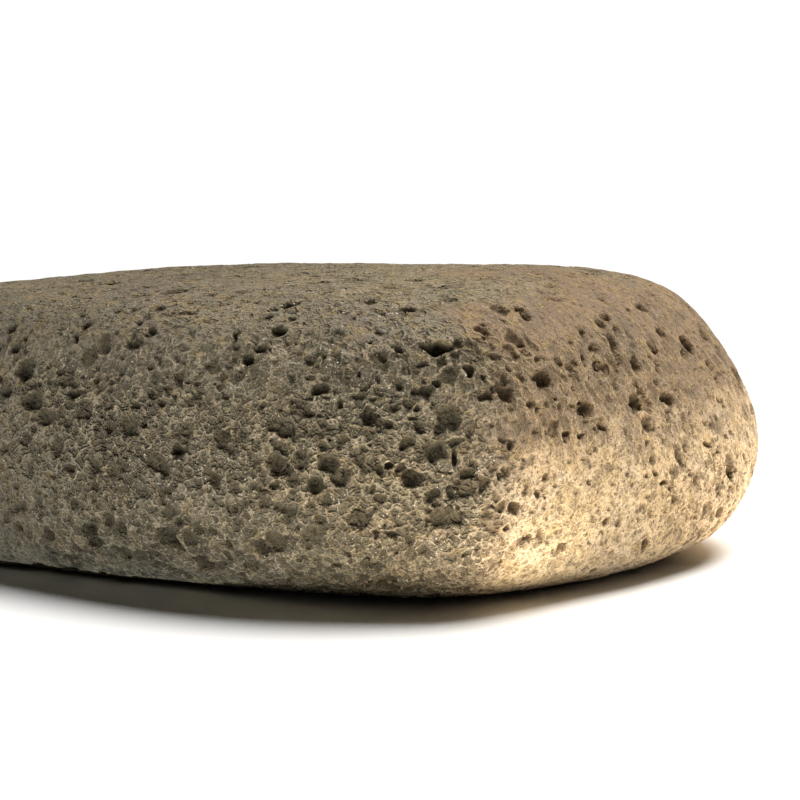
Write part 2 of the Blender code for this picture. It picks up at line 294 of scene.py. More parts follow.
def seen_points(pixels):
    """A line of sight goes ahead, and right and down by the pixel's offset over the picture's
    distance. Newton's rule on the reach, from the eye, closes in on the near surface."""
    eye, ahead, right, up = picture_axes()
    across, down = ((pixels - PICTURE_MIDDLE) / PICTURE_REACH).T[:, :, None]
    sights = ahead + right * across - up * down
    travelled = np.zeros((len(pixels), 1))
    for _ in range(SIGHT_STEPS):
        here = reach(eye + sights * travelled)
        change = (reach(eye + sights * (travelled + SIGHT_PROBE)) - here) / SIGHT_PROBE
        travelled -= ((here - 1) / change)[:, None]
    return eye + sights * travelled


def seen_pores(rows, shape):
    """Each pore's place, outward and wide direction, real width and height, and shape. A size as
    seen is divided by how squarely the surface there faces the eye."""
    pixels, seen_size, slants = np.split(np.array(rows, float), (2, 4), axis=1)
    places = seen_points(pixels)
    out = outward(places)
    _, _, right, up = picture_axes()
    turns = np.radians(slants)
    wide_ways = right * np.cos(turns) + up * np.sin(turns)
    tall_ways = up * np.cos(turns) - right * np.sin(turns)
    wide = unit(wide_ways - out * row_dot(wide_ways, out))
    tall = np.cross(out, wide)
    facing = np.hstack([abs(row_dot(wide, wide_ways)), abs(row_dot(tall, tall_ways))])
    sizes = seen_size / np.maximum(facing, MOST_TURN_AWAY)
    return np.hstack([places, out, wide, sizes, np.tile(shape, (len(rows), 1))])


print("the first pore's place, mm:", np.round(seen_pores(DEEP_PORES, DEEP_SHAPE)[0, PLACE], 1))

# %% Scatter the other large pores
OTHER_PORES = 190
OTHER_PORE_TRIES = 620
OTHER_PORE_WIDTHS = (1.8, 4.2)
OTHER_PORE_RARITY = 2.5
OTHER_PORE_OVALS = (0.6, 1.0)
OTHER_PORE_JOG = 2.0
WELL_SEEN = 0.22
SCATTER_SEED = 7
WALL_BETWEEN = 0.45
REST_PATCH = (-6.0, -10.0, 9.0)


def well_seen(places, out):
    """Whether places of the skin face the eye squarely enough, and lie inside the picture."""
    eye, ahead, right, _ = picture_axes()
    sights = places - eye
    across = PICTURE_REACH * (sights @ right) / (sights @ ahead)
    facing = -row_dot(unit(sights), out)[:, 0]
    return (facing > WELL_SEEN) & (across > -PICTURE_MIDDLE)


def other_pores():
    """A golden-angle spiral spreads them evenly over a ball, which is stretched to the pebble.
    Each is jogged, and a power of a random number makes most of them small."""
    chance = np.random.default_rng(SCATTER_SEED)
    order = chance.permutation(OTHER_PORE_TRIES)
    level = 1 - (2 * order + 1) / OTHER_PORE_TRIES
    around = order * math.pi * (3 - math.sqrt(5))
    circle = np.sqrt(1 - level ** 2)
    ball = np.stack([circle * np.cos(around), circle * np.sin(around), level], axis=-1)
    jogs = chance.normal(0, OTHER_PORE_JOG, ball.shape)
    places = surface_points(unit(ball * STRETCH + jogs))
    out = outward(places)
    wide = unit(np.cross(out, chance.normal(size=ball.shape)))
    least, most = OTHER_PORE_WIDTHS
    width = least + (most - least) * chance.random((len(ball), 1)) ** OTHER_PORE_RARITY
    height = width * chance.uniform(*OTHER_PORE_OVALS, width.shape)
    pores = np.hstack([places, out, wide, width, height, np.tile(DEEP_SHAPE, (len(ball), 1))])
    return pores[~well_seen(places, out)]


def has_room(pore, kept):
    """Whether a pore leaves a wall to each pore kept so far and stays off the patch to rest on."""
    size = pore[SIZE].mean()
    across, along, radius = REST_PATCH
    if pore[2] < 0 and math.hypot(pore[0] - across, pore[1] - along) < radius + size:
        return False
    return all(
        np.linalg.norm(pore[PLACE] - other[PLACE]) > (size + other[SIZE].mean()) / 2 + WALL_BETWEEN
        for other in kept)


def large_pores():
    """The solid model's pores, in the same order: those of the photograph, then the others."""
    kept = []
    deep, shallow = seen_pores(DEEP_PORES, DEEP_SHAPE), seen_pores(SHALLOW_PORES, SHALLOW_SHAPE)
    for pore in np.vstack([deep, shallow]):
        if has_room(pore, kept):
            kept.append(pore)
    wanted = len(kept) + OTHER_PORES
    for pore in other_pores():
        if len(kept) < wanted and has_room(pore, kept):
            kept.append(pore)
    return np.array(kept)


pores = np.vstack([large_pores(), seen_pores(FINER_PORES, FINER_SHAPE)])
print(f"large pores: {len(pores)}, {time.perf_counter() - started:.1f} s")

# %% [markdown]
# ## Sinking the pores
#
# A pore is what is left of a ball-shaped bubble that was cut open. Cutting thousands of balls out
# of a mesh would be slow and fragile. It is quicker to push each point of the skin straight in,
# as far as the bubble's far wall. That distance is the far root of a quadratic: where a line
# from the point, going inwards, leaves the ball. Real bubbles are dented, so the points are first
# swayed by a few sine waves, which bends every pore's outline a little.

# %% Waves, and the way out of a ball
RIM_SOFTNESS = 0.12
SWAY_LENGTH, SWAY_AMOUNT = 2.2, 0.16


def waves(points, length, channels, seed, count=20):
    """A sum of sine waves in random directions, all about as long as length; each channel mixes
    the same waves by its own random amounts, and is mostly within -1 to 1."""
    chance = np.random.default_rng(seed)
    ways = unit(chance.normal(size=(count, 3))) * chance.uniform(0.7, 1.4, (count, 1))
    turns = points @ (ways.T * (2 * math.pi / length)) + chance.uniform(0, 2 * math.pi, count)
    return np.sin(turns) @ chance.normal(0, 1 / math.sqrt(count), (count, channels))


def swayed(points):
    """The points, each moved a little by the waves at its place."""
    return points + SWAY_AMOUNT * waves(points, SWAY_LENGTH, 3, seed=3)


def depth_in_ball(start, way):
    """For a ball of radius 1 about zero: the distance from each start, along way, to the ball's
    far side, or 0 outside it. It is -(s.w) + root((s.w)^2 - w.w (s.s - 1)), all over w.w. Close
    to the rim it fades in, which rounds the edge."""
    toward = (start * way).sum(-1)
    length = (way * way).sum(-1)
    inside = 1 - (start * start).sum(-1)
    root = np.sqrt(np.maximum(toward ** 2 + length * inside, 0))
    fade = np.clip(inside / RIM_SOFTNESS, 0, 1)
    return (root - toward) / length * fade * fade * (3 - 2 * fade) * (inside > 0)


def large_pore_depths(points, out):
    """For each pore, the points near it in the pore's own axes, where it is a ball of radius 1."""
    depths = np.zeros(len(points))
    places = swayed(points)
    order = np.argsort(places[:, 0])
    along = places[order, 0]
    for pore in pores:
        half = np.append(pore[SIZE] / 2, pore[SHAPE][0] * pore[SIZE].mean())
        middle = pore[PLACE] - pore[OUT] * half[2] * pore[SHAPE][1]
        axes = np.stack([pore[WIDE], np.cross(pore[OUT], pore[WIDE]), pore[OUT]], axis=1) / half
        across = half.max()
        first, last = np.searchsorted(along, (middle[0] - across, middle[0] + across))
        near = order[first:last]
        near = near[(np.abs(places[near] - middle) < across).all(axis=1)]
        depth = depth_in_ball((places[near] - middle) @ axes, -out[near] @ axes)
        depths[near] = np.maximum(depths[near], depth)
    return depths


straight_in = depth_in_ball(np.zeros((1, 3)), np.array([(0.0, 0.0, -1.0)]))[0]
print("from the middle of a ball to its far side:", straight_in, "of its radius")

# %% [markdown]
# ## Foam between the large pores
#
# Foam has no plan to read, only rules. Space is divided into cubes with one bubble in each, jogged
# and of a random size. Where two bubbles meet they flatten against each other, and their common
# wall is the plane where the squared distances to both, less their squared radii, are equal. So
# each point belongs to one bubble, and some of the bubbles are open. A point in an open one sinks
# to whichever comes first: the ball's far side, a wall, the slope of the rim, or the bubble's own
# floor, for many of them hold dust. The bubbles fill space, so they open in the walls of larger
# pores too, as in real foam, though fainter there, since a large pore is lined with glass.

# %% Bubbles in cubes
CUBES_OF_MARGIN = 2
RIM_SLOPE = 2.6
WALL_POWER = 4
LEAST_DEPTH, LEAST_GAP = 1e-3, 1e-6


def foam_bubbles(cube, radii, floors, share, seed):
    """Each cube's bubble: its middle is the cube's corner plus a random part of the cube, its
    radius and its floor's depth lie between two lengths each, and it is open if a random number is
    below the share there. A random number's square makes most floors shallow."""
    corner = skin.min(axis=0) - CUBES_OF_MARGIN * cube
    counts = np.ceil(np.ptp(skin, axis=0) / cube).astype(int) + 2 * CUBES_OF_MARGIN
    chance = np.random.default_rng(seed)
    whole = np.stack(np.meshgrid(*map(np.arange, counts), indexing="ij"), axis=-1).reshape(-1, 3)
    middles = corner + (whole + chance.random(whole.shape)) * cube
    sizes = chance.uniform(*radii, len(whole))
    is_open = chance.random(len(whole)) < share(middles)
    floor_depths = floors[0] + (floors[1] - floors[0]) * chance.random(len(whole)) ** 2
    middles, squares_of_radii = middles.astype(np.float32), (sizes ** 2).astype(np.float32)
    return corner, counts, middles, squares_of_radii, floor_depths, is_open


def foam_depths(points, out, cube, bubbles, wall):
    """How far each point sinks into the foam: whose bubble it is in, then the nearest walls beside
    it and ahead of it, then the least of the four lengths above. They are joined by their inverse
    powers, so the corners between them are round."""
    corner, counts, middles, squares_of_radii, floor_depths, is_open = bubbles
    steps = np.array((counts[1] * counts[2], counts[2], 1))
    places = swayed(points).astype(np.float32)
    home = np.floor((places - corner) / cube).astype(np.int64) @ steps
    around = (np.array(list(np.ndindex(3, 3, 3))) - 1) @ steps

    least = np.full(len(points), np.inf, np.float32)
    own = home.copy()
    for step in around:
        other = home + step
        apart = ((places - middles[other]) ** 2).sum(axis=1) - squares_of_radii[other]
        own = np.where(apart < least, other, own)
        least = np.minimum(apart, least)

    chosen = np.flatnonzero(is_open[own])
    places, home, own, least = places[chosen], home[chosen], own[chosen], least[chosen]
    way = -out[chosen].astype(np.float32)
    to_wall = np.full(len(chosen), cube, np.float32)
    to_far_wall = np.full(len(chosen), cube, np.float32)
    for step in around:
        other = home + step
        side = middles[other] - middles[own]
        gap = ((places - middles[other]) ** 2).sum(axis=1) - squares_of_radii[other] - least
        length = np.linalg.norm(side, axis=1)
        beside = gap / (2 * np.maximum(length, LEAST_GAP))
        to_wall = np.where(length > 0, np.minimum(to_wall, beside), to_wall)
        ahead = (way * side).sum(axis=1)
        in_front = gap / (2 * np.maximum(ahead, LEAST_DEPTH))
        to_far_wall = np.where(ahead > LEAST_DEPTH, np.minimum(to_far_wall, in_front), to_far_wall)
    radius = np.sqrt(squares_of_radii[own])[:, None]
    to_far_side = depth_in_ball((places - middles[own]) / radius, way / radius)
    down_the_rim = RIM_SLOPE * (to_wall - wall / 2)
    lengths = np.stack([to_far_side, to_far_wall, down_the_rim, floor_depths[own]])
    powers = np.maximum(lengths, LEAST_DEPTH) ** -WALL_POWER
    depths = np.zeros(len(points))
    depths[chosen] = powers.sum(axis=0) ** (-1 / WALL_POWER)
    return depths


def grid_normals(points):
    """A square's direction is the cross product of its diagonals; a point's is the sum of those
    of the squares around it."""
    corners = points[squares]
    faces = np.cross(corners[:, 2] - corners[:, 0], corners[:, 3] - corners[:, 1])
    spread = np.repeat(faces, 4, axis=0)
    sums = [np.bincount(squares.ravel(), spread[:, axis], len(points)) for axis in range(3)]
    return unit(np.stack(sums, axis=-1))


straightness = row_dot(grid_normals(skin), skin_out).mean()
print("the grid's directions against the formula's, 1 if alike:", round(float(straightness), 4))

# %% [markdown]
# The foam isn't the same all over. It is open along the front, and tight on the near end, which
# the photograph shows as a paler face with small pits. The top and the far end were rubbed most
# and keep few of them. Slow waves vary all this, so that no border is a straight line.

# %% How open the foam is
# Where a change starts and ends, in millimetres; for the top it is the upward part of the direction
TIGHT_WAY, TIGHT_EDGE = (0.596, 0.803), (-3.0, 6.0)
TIGHT_FROM = (22.0, 40.0)
BORDER_BEND, BORDER_WAVES = 7.0, 18.0
WORN_TOP, TOP_WEAR = (0.35, 0.85), 0.6
WORN_LEFT, LEFT_WEAR = (-12.0, 28.0), 0.5
OPEN_AGAIN, END_WEAR, LOW_END_WEAR = (-2.0, 8.0), 0.25, 0.3
FOAM_WAVES, FOAM_CHANGE = 30.0, 0.15
LEAST_FOAM, MOST_FOAM = 0.1, 1.1


def smooth_step(values, low, high):
    """0 below low, 1 above high, and 3t^2 - 2t^3 between."""
    share = np.clip((values - low) / (high - low), 0, 1)
    return share * share * (3 - 2 * share)


def tightness(points):
    """1 on the tight near end, 0 on the open sides. It changes at the crisp edge and along the
    stone, and slow waves bend that border on the top."""
    bend = BORDER_BEND * waves(points, BORDER_WAVES, 1, seed=9)[:, 0]
    bend = bend * smooth_step(outward(points)[:, 2], *WORN_TOP)
    across = smooth_step(points[:, :2] @ TIGHT_WAY + bend, *TIGHT_EDGE)
    return across * smooth_step(points[:, 0] + bend, *TIGHT_FROM)


def tightest(points):
    """1 low on the tight end, where its foam is tightest."""
    return tightness(points) * (1 - smooth_step(points[:, 2], *OPEN_AGAIN))


def foaminess(points):
    """How open the foam is, from 1 along the front down to about a third where the stone was rubbed
    most: low on the tight end, on the top and towards the far end. Slow waves vary it."""
    left = 1 - END_WEAR * tightness(points) - LOW_END_WEAR * tightest(points)
    left = left * (1 - TOP_WEAR * smooth_step(outward(points)[:, 2], *WORN_TOP))
    left = left * (1 - LEFT_WEAR * smooth_step(-points[:, 0], *WORN_LEFT))
    left = left + FOAM_CHANGE * waves(points, FOAM_WAVES, 1, seed=5)[:, 0]
    return np.clip(left, LEAST_FOAM, MOST_FOAM)


levels = np.percentile(foaminess(skin[::100]), (0, 50, 100))
print("openness of the foam, least, middle and most:", np.round(levels, 2))

# %% Sink everything in turn, from the largest to the smallest
LUMPS = ((11.0, 0.10), (4.5, 0.07), (1.6, 0.045), (0.7, 0.03))  # length and height
FOAM = (
    # cube, smallest and largest radius and floor, open share in the loosest foam and what it is
    # multiplied by low on the end, wall, seed
    (2.3, (0.6, 1.5), (0.25, 1.6), 0.52, 0.45, 0.16, 11),
    (1.15, (0.35, 0.75), (0.15, 0.8), 0.62, 1.35, 0.12, 12),
)
LINED, LINING = (0.25, 0.9), 0.75  # a large pore's depth where its lining starts and is full

surface = skin.copy()
for length, amount in LUMPS:
    surface = surface - skin_out * amount * (0.5 + 0.5 * waves(skin, length, 1, seed=21))
pore_depths = large_pore_depths(surface, skin_out)
surface = surface - skin_out * pore_depths[:, None]
print(f"large pores sunk, {time.perf_counter() - started:.1f} s")
unlined = 1 - LINING * smooth_step(pore_depths, *LINED)
for cube, radii, floors, most_open, at_end, wall, seed in FOAM:
    def share(points):
        return most_open * foaminess(points) * (1 + (at_end - 1) * tightest(points))

    bubbles = foam_bubbles(cube, radii, floors, share, seed)
    out = grid_normals(surface)
    surface = surface - out * (foam_depths(surface, out, cube, bubbles, wall) * unlined)[:, None]
    print(f"foam of {cube} mm cubes, {time.perf_counter() - started:.1f} s")
surface[:, 2] = np.maximum(surface[:, 2], -MIDDLE_HEIGHT)

# %% [markdown]
# ## From arrays to a mesh
#
# The arrays go into a mesh in one call each. Then a Decimate modifier takes away the points that
# flat places don't need, so that what is left of the budget of triangles sits on the rims. The
# side that the camera sees closest keeps more of them.

# %% Make the stone
MOST_TRIANGLES = 198_000
CARE_WEIGHT = 1.5
CARE_LEVELS = 20
LEAST_CARE, CARE_WHERE_SEEN, CARE_WHERE_NEAR = 0.12, 0.28, 0.6
TURNED_TO_EYE = (-0.2, 0.3)
NEAR_EYE = (-265.0, -232.0)
UNDERSIDE = (0.8, 0.95)


def mesh_from_grid(name, points, quads):
    """Fills a mesh from arrays of points and squares."""
    mesh = bpy.data.meshes.new(name)
    mesh.vertices.add(len(points))
    mesh.vertices.foreach_set("co", points.astype(np.float32).ravel())
    mesh.loops.add(quads.size)
    mesh.loops.foreach_set("vertex_index", quads.astype(np.int32).ravel())
    mesh.polygons.add(len(quads))
    mesh.polygons.foreach_set("loop_start", np.arange(0, quads.size, 4, dtype=np.int32))
    mesh.update(calc_edges=True)
    return mesh


def applied(thing):
    """Keeps the mesh as its modifiers leave it."""
    graph = bpy.context.evaluated_depsgraph_get()
    mesh = bpy.data.meshes.new_from_object(thing.evaluated_get(graph))
    thing.modifiers.clear()
    thing.data = mesh
    return thing


form_low, form_high = skin.min(axis=0), skin.max(axis=0)
middle = (solid_low + solid_high) / 2 / MM - (form_low + form_high) / 2
middle[2] = solid_low[2] / MM + MIDDLE_HEIGHT
print("the stone's middle in the frame, mm:", np.round(middle, 2))

stone_mesh = mesh_from_grid("worn_pumice", surface + middle, squares)
stone = bpy.data.objects.new("worn_pumice", stone_mesh)
bpy.context.collection.objects.link(stone)
toward_eye = picture_axes()[0] - skin
distance = np.linalg.norm(toward_eye, axis=1)
seen = smooth_step((toward_eye * skin_out).sum(axis=1) / distance, *TURNED_TO_EYE)
care = LEAST_CARE + seen * (CARE_WHERE_SEEN + CARE_WHERE_NEAR * smooth_step(-distance, *NEAR_EYE))
care = care - LEAST_CARE * smooth_step(-skin_out[:, 2], *UNDERSIDE)
spare = stone.vertex_groups.new(name="can be spared")
levels = np.clip(np.round((1 - care) * CARE_LEVELS).astype(int), 1, CARE_LEVELS)
for level in range(1, CARE_LEVELS + 1):
    spare.add(np.flatnonzero(levels == level).tolist(), level / CARE_LEVELS, "REPLACE")
thin = stone.modifiers.new("fewer points on flat places", "DECIMATE")
thin.ratio = MOST_TRIANGLES / (len(squares) * 2)
thin.vertex_group = spare.name
thin.vertex_group_factor = CARE_WEIGHT
applied(stone)
stone.vertex_groups.clear()
stone.data.transform(Matrix.Scale(MM, 4))
stone.data.shade_smooth()
print(f"stone: {len(stone.data.polygons)} faces, {time.perf_counter() - started:.1f} s")

# %% [markdown]
# ## How deep each point lies
#
# Dust, shade and the bubble's glassy lining make a pore look different from the rubbed skin. So
# each point keeps its depth below the worn form, which the material reads as an attribute. How
# tight and how open the foam is there goes with it, so that colours and shapes change together.

# %% Store what the material needs


def depth_below_skin(points):
    """One less the reach is the depth as a share of the way out; over the reach's own slope it is
    a length."""
    depth = (1 - reach(points)) / np.linalg.norm(slope(points), axis=1)
    return np.minimum(depth, points[:, 2] + MIDDLE_HEIGHT)


corners = np.empty(len(stone.data.vertices) * 3, np.float32)
stone.data.vertices.foreach_get("co", corners)
points = corners.reshape(-1, 3) / MM - middle
looks = {"depth": depth_below_skin, "tightness": tightness, "foaminess": foaminess}
for name, look in looks.items():
    values = look(points)
    attribute = stone.data.attributes.new(name, "FLOAT", "POINT")
    attribute.data.foreach_set("value", values.astype(np.float32))
    quarters = np.percentile(values, (0, 25, 50, 75, 100))
    print(f"{name}, least to most by quarters:", np.round(quarters, 3))

# %% [markdown]
# ## The stone's material
#
# Foam too fine for the mesh is left to the material. A Voronoi texture cuts space into cells, which
# are the bubbles, and its distance to the cells' edges tells the thin walls from the pits between
# them. Three sizes of cell lie over one another, down to less than half a millimetre. A wall is
# pale where it was rubbed and lighter still with a painted highlight, and the pit is dark with
# dust and painted shade. Small round holes come on top, darkened with painted shade.

# %% Write nodes in one line each


class Nodes:
    """A material's node tree, with a short call for each kind of node that is needed here."""

    def __init__(self, name):
        self.material = bpy.data.materials.new(name)
        self.material.use_nodes = True
        self.tree = self.material.node_tree
        self.shader = self.tree.nodes["Principled BSDF"]

    def node(self, kind, inputs=(), **settings):
        """Adds a node, makes its settings, and feeds its inputs by name or number."""
        made = self.tree.nodes.new(kind)
        for setting, value in settings.items():
            setattr(made, setting, value)
        for socket, value in dict(inputs).items():
            self.feed(made.inputs[socket], value)
        return made

    def feed(self, socket, value):
        """Links an output to a socket, or sets the socket's own value."""
        if isinstance(value, bpy.types.NodeSocket):
            self.tree.links.new(value, socket)
        else:
            socket.default_value = value

    def math(self, operation, *values):
        """One arithmetic step."""
        return self.node("ShaderNodeMath", enumerate(values), operation=operation).outputs[0]

    def step(self, value, low, high, to_low=0.0, to_high=1.0):
        """A smooth step from one level to another."""
        inputs = {"Value": value, "From Min": low, "From Max": high}
        inputs |= {"To Min": to_low, "To Max": to_high}
        made = self.node("ShaderNodeMapRange", inputs, interpolation_type="SMOOTHSTEP")
        return made.outputs["Result"]

    def blend(self, share, under, over, kind="MIX"):
        """Two colours mixed by a share."""
        made = self.node("ShaderNodeMix", {"Factor": share}, data_type="RGBA", blend_type=kind)
        self.feed(made.inputs[6], under)
        self.feed(made.inputs[7], over)
        return made.outputs[2]

    def noise(self, place, scale, detail=2.0, rough=0.5):
        """Soft noise from 0 to 1."""
        inputs = {"Vector": place, "Scale": scale, "Detail": detail, "Roughness": rough}
        return self.node("ShaderNodeTexNoise", inputs).outputs["Fac"]

    def attribute(self, name):
        """A number that the mesh keeps at each point."""
        return self.node("ShaderNodeAttribute", attribute_name=name).outputs["Fac"]

    def chances(self, cells):
        """A Voronoi cell's random colour, as three random numbers."""
        return self.node("ShaderNodeSeparateColor", {0: cells.outputs["Color"]}).outputs


def rgb(red, green, blue):
    """A linear colour with full alpha."""
    return (red, green, blue, 1.0)


print("shorthands:", ", ".join(name for name in vars(Nodes) if not name.startswith("_")))

# %% Fine foam and small holes
CELL_SIZES = ((1.35, 0.38), (0.78, 0.28), (0.42, 0.15))  # width and depth in millimetres
CELL_OPENING, SHALLOWEST_PIT = (0.0, 0.2), 0.30
PIT_SIDE, WALL_SIDE = (0.03, 0.20), (0.0, 0.10)  # distances from a cell's edge, in widths
HOLE_SIZES = ((0.95, 0.34, 0.30), (0.55, 0.55, 0.20), (0.32, 0.60, 0.10))  # width, share, depth
HOLE_OPENING = (0.0, 0.1)
HOLE_SHAPE = ((0.22, 0.55), (0.5, 1.15), 0.4)  # radii in widths, side in radii, least depth


def foam_cells(nodes, place, width, openness):
    """How deep a point lies in an open cell, from 0 on its wall to 1, and how much of a wall it is.
    A cell is open where one of its random numbers is below the openness; another sets its depth."""
    settings = {"Vector": place, "Scale": 1 / width}
    first, second, _ = nodes.chances(nodes.node("ShaderNodeTexVoronoi", settings))
    edges = nodes.node("ShaderNodeTexVoronoi", settings, feature="DISTANCE_TO_EDGE")
    edge = edges.outputs["Distance"]
    is_open = nodes.step(nodes.math("SUBTRACT", openness, first), *CELL_OPENING)
    deep = nodes.math("MULTIPLY", is_open, nodes.step(second, 0.0, 1.0, SHALLOWEST_PIT, 1.0))
    pit = nodes.math("MULTIPLY", nodes.step(edge, *PIT_SIDE), deep)
    return pit, nodes.math("MULTIPLY", nodes.step(edge, *WALL_SIDE, 1.0, 0.0), is_open)


def round_holes(nodes, place, width, share, shape=HOLE_SHAPE):
    """Up to 1 inside a hole and 0 outside. Its radius is a random part of the cell that it lies
    in, and its depth is random too. Wide ones with soft sides are dents."""
    radii, side, shallowest = shape
    cells = nodes.node("ShaderNodeTexVoronoi", {"Vector": place, "Scale": 1 / width})
    first, second, third = nodes.chances(cells)
    is_open = nodes.step(nodes.math("SUBTRACT", share, first), *HOLE_OPENING)
    radius = nodes.step(second, 0.0, 1.0, *radii)
    inside = nodes.step(nodes.math("DIVIDE", cells.outputs["Distance"], radius), *side, 1.0, 0.0)
    how_deep = nodes.step(third, 0.0, 1.0, shallowest, 1.0)
    return nodes.math("MULTIPLY", nodes.math("MULTIPLY", inside, is_open), how_deep)


print("cells and holes, mm wide:", [row[0] for row in CELL_SIZES + HOLE_SIZES])

# %% [markdown]
# The skin has several colours that run into one another: olive, tan and mauve greys along the
# front, cream low on the near end, which is partly its own paler tone and partly painted warm
# light, and a duller brown above it, which is painted shade. Soft dents are where bubbles were
# rubbed away down to their floors, and they are darkened with painted shade. The top and the far
# left are darker with wear and painted shade, and the far end is darkened with painted shade. The
# colours are linear.

# %% Colours
OLIVE, TAN, MAUVE = rgb(0.30, 0.28, 0.20), rgb(0.42, 0.34, 0.225), rgb(0.31, 0.27, 0.22)
# A darker brown for rubbed skin that is also painted shade: it darkens the worn top and the far
# left, which get less light.
RUBBED_DARK_AND_SHADE = rgb(0.16, 0.145, 0.11)
# Creams for the low near end: partly the end's own paler tone, partly painted warm light.
LIT_CREAM, LIT_YELLOW_CREAM = rgb(0.57, 0.46, 0.315), rgb(0.58, 0.445, 0.27)
# Duller browns for the upper near end: painted shade on that part of the end.
SHADED_END_MAUVE, SHADED_END_TAN = rgb(0.19, 0.143, 0.104), rgb(0.26, 0.19, 0.122)
# The pale wall colour is rubbed glass lightened further as a painted highlight on the rims.
PALE_WALL_AND_HIGHLIGHT, PIT, HOLE_SHADE = rgb(0.56, 0.455, 0.295), rgb(0.115, 0.10, 0.062), rgb(0.11, 0.08, 0.04)
# Pore interiors: dust darkened with painted shade by depth, and near black painted shade deepest.
PORE_DUST_AND_SHADE, PORE_SHADE = rgb(0.115, 0.096, 0.056), rgb(0.010, 0.009, 0.004)
TAN_DUST_AND_SHADE, TAN_PIT = rgb(0.23, 0.165, 0.095), rgb(0.17, 0.12, 0.065)
OCHRE, CRYSTAL_GLINT, DENT_SHADE = rgb(0.36, 0.26, 0.10), rgb(0.85, 0.82, 0.76), rgb(0.085, 0.064, 0.045)
# A noise's scale is a number of features per millimetre, and the two after it are its levels
TINTS, MAUVE_PATCHES = (0.16, 0.38, 0.62), (0.06, 0.50, 0.70)
RUBBED_AND_SHADED, RUBBED_AND_SHADE_SHARE = (0.25, 0.95), 0.68
# Where the painted shade on the upper near end takes over from the cream, and how much that border
# bends.
SHADED_FROM, SHADED_BEND = (13.0, 24.0), 16.0  # heights above the table in millimetres, and their bend
CRYSTAL_SCALE, CRYSTAL_RADIUS, CRYSTAL_RARITY = 4.0, 0.35, 0.90
CROWDS, CROWD_SHARES = (0.25, 0.5, 0.65), (0.1, 0.8)
NO_CRYSTALS_IN, CRYSTALS_ON_END = (0.2, 0.6), 0.3


def skin_colour(nodes, place, blotches, tight, foamy):
    """The rubbed skin's colour, without its pits. It holds painted shade on the worn top and far
    left, painted warm light low on the near end and painted shade above that.
    """
    tints = nodes.step(nodes.noise(place, TINTS[0], 3.0, 0.65), *TINTS[1:])
    patches = nodes.step(nodes.noise(place, MAUVE_PATCHES[0], 3.0), *MAUVE_PATCHES[1:])
    grey = nodes.blend(patches, nodes.blend(tints, OLIVE, TAN), MAUVE)
    # Wear and painted shade: less open skin, on the top and towards the far end, turns darker
    # brown.
    grey = nodes.blend(nodes.step(foamy, *RUBBED_AND_SHADED, RUBBED_AND_SHADE_SHARE, 0.0), grey, RUBBED_DARK_AND_SHADE)
    height = nodes.node("ShaderNodeSeparateXYZ", {0: place}).outputs[2]
    # The near end: cream below, partly painted warm light, and painted shade above a bent height.
    height = nodes.math("MULTIPLY_ADD", nodes.math("SUBTRACT", blotches, 0.5), SHADED_BEND, height)
    low, high = nodes.blend(tints, LIT_CREAM, LIT_YELLOW_CREAM), nodes.blend(tints, SHADED_END_MAUVE, SHADED_END_TAN)
    return nodes.blend(tight, grey, nodes.blend(nodes.step(height, *SHADED_FROM), low, high))


def with_crystals_and_glints(nodes, place, depth, tight, colour):
    """Scatters pale specks on the skin, crowded in some places: a cell's middle in one cell out
    of ten. They are pale crystals and painted glints."""
    cells = nodes.node("ShaderNodeTexVoronoi", {"Vector": place, "Scale": CRYSTAL_SCALE})
    speck = nodes.math("LESS_THAN", cells.outputs["Distance"], CRYSTAL_RADIUS)
    rare = nodes.math("GREATER_THAN", nodes.chances(cells)[2], CRYSTAL_RARITY)
    crowd = nodes.step(nodes.noise(place, CROWDS[0], 1.0), *CROWDS[1:], *CROWD_SHARES)
    crowd = nodes.math("MULTIPLY", crowd, nodes.step(depth, *NO_CRYSTALS_IN, 1.0, 0.0))
    crowd = nodes.math("MULTIPLY", crowd, nodes.step(tight, 0.0, 1.0, 1.0, CRYSTALS_ON_END))
    speck = nodes.math("MULTIPLY", nodes.math("MULTIPLY", speck, rare), crowd)
    # Pale specks: crystals, and painted glints.
    return nodes.blend(speck, colour, CRYSTAL_GLINT)


for name, colour in {"olive": OLIVE, "tan": TAN, "cream": LIT_CREAM, "dull tan": SHADED_END_TAN}.items():
    print(f"{name}: a mean of {sum(colour[:3]) / 3:.2f} of white")

# %% Build the material
CELL_BEND, BEND_SCALE = 0.6, 0.9
BLOTCH_SCALE, GRAIN_SCALE, GRIT_SCALE = 0.30, 6.0, 2.2
GRAIN_HEIGHT, GRIT_HEIGHT = 0.05, 0.22
# The dents' width, how many there are, their depth and how much painted shade fills them.
DENT_WIDTH, DENT_SHARE, DENT_DEPTH, DENT_SHADE_SHARE = 2.5, 0.85, 0.40, 0.75
DENT_SHAPE = ((0.33, 0.58), (0.3, 1.15), 1.0)
DENTED_FROM, DENTED_TO = (14.0, 20.0), (28.0, 32.0)  # heights above the table in millimetres
# Depths where the painted shade in pores starts and is full: first the dusty floor colour, then
# near black.
PORE_WALL, PORE_CORE = (0.12, 0.6), (0.5, 1.3)       # depths where each starts and is full
# The first two are shares of painted shade: in small holes, and in a pore's core on the near end.
HOLE_SHADE_SHARE, CORE_SHARE_ON_END, RUST_SHARE, FINEST_BY_FOAM = 0.80, 0.85, 0.5, 0.55
RUST = (0.7, 0.50, 0.66)
# A step's two borders, and the two levels that it leads from and to
OPENNESS, FINEST_OPENNESS = (0.30, 0.60, 0.65, 1.25), (0.3, 0.65, 0.25, 0.5)
GRITTY_WALLS, FOAMY_WALLS = (0.40, 0.62, 0.25, 0.95), (0.35, 0.95, 0.25, 0.95)
CONTRAST, MOTTLE = (0.25, 0.85, 0.45, 0.85), (0.3, 0.7, 0.72, 1.28)
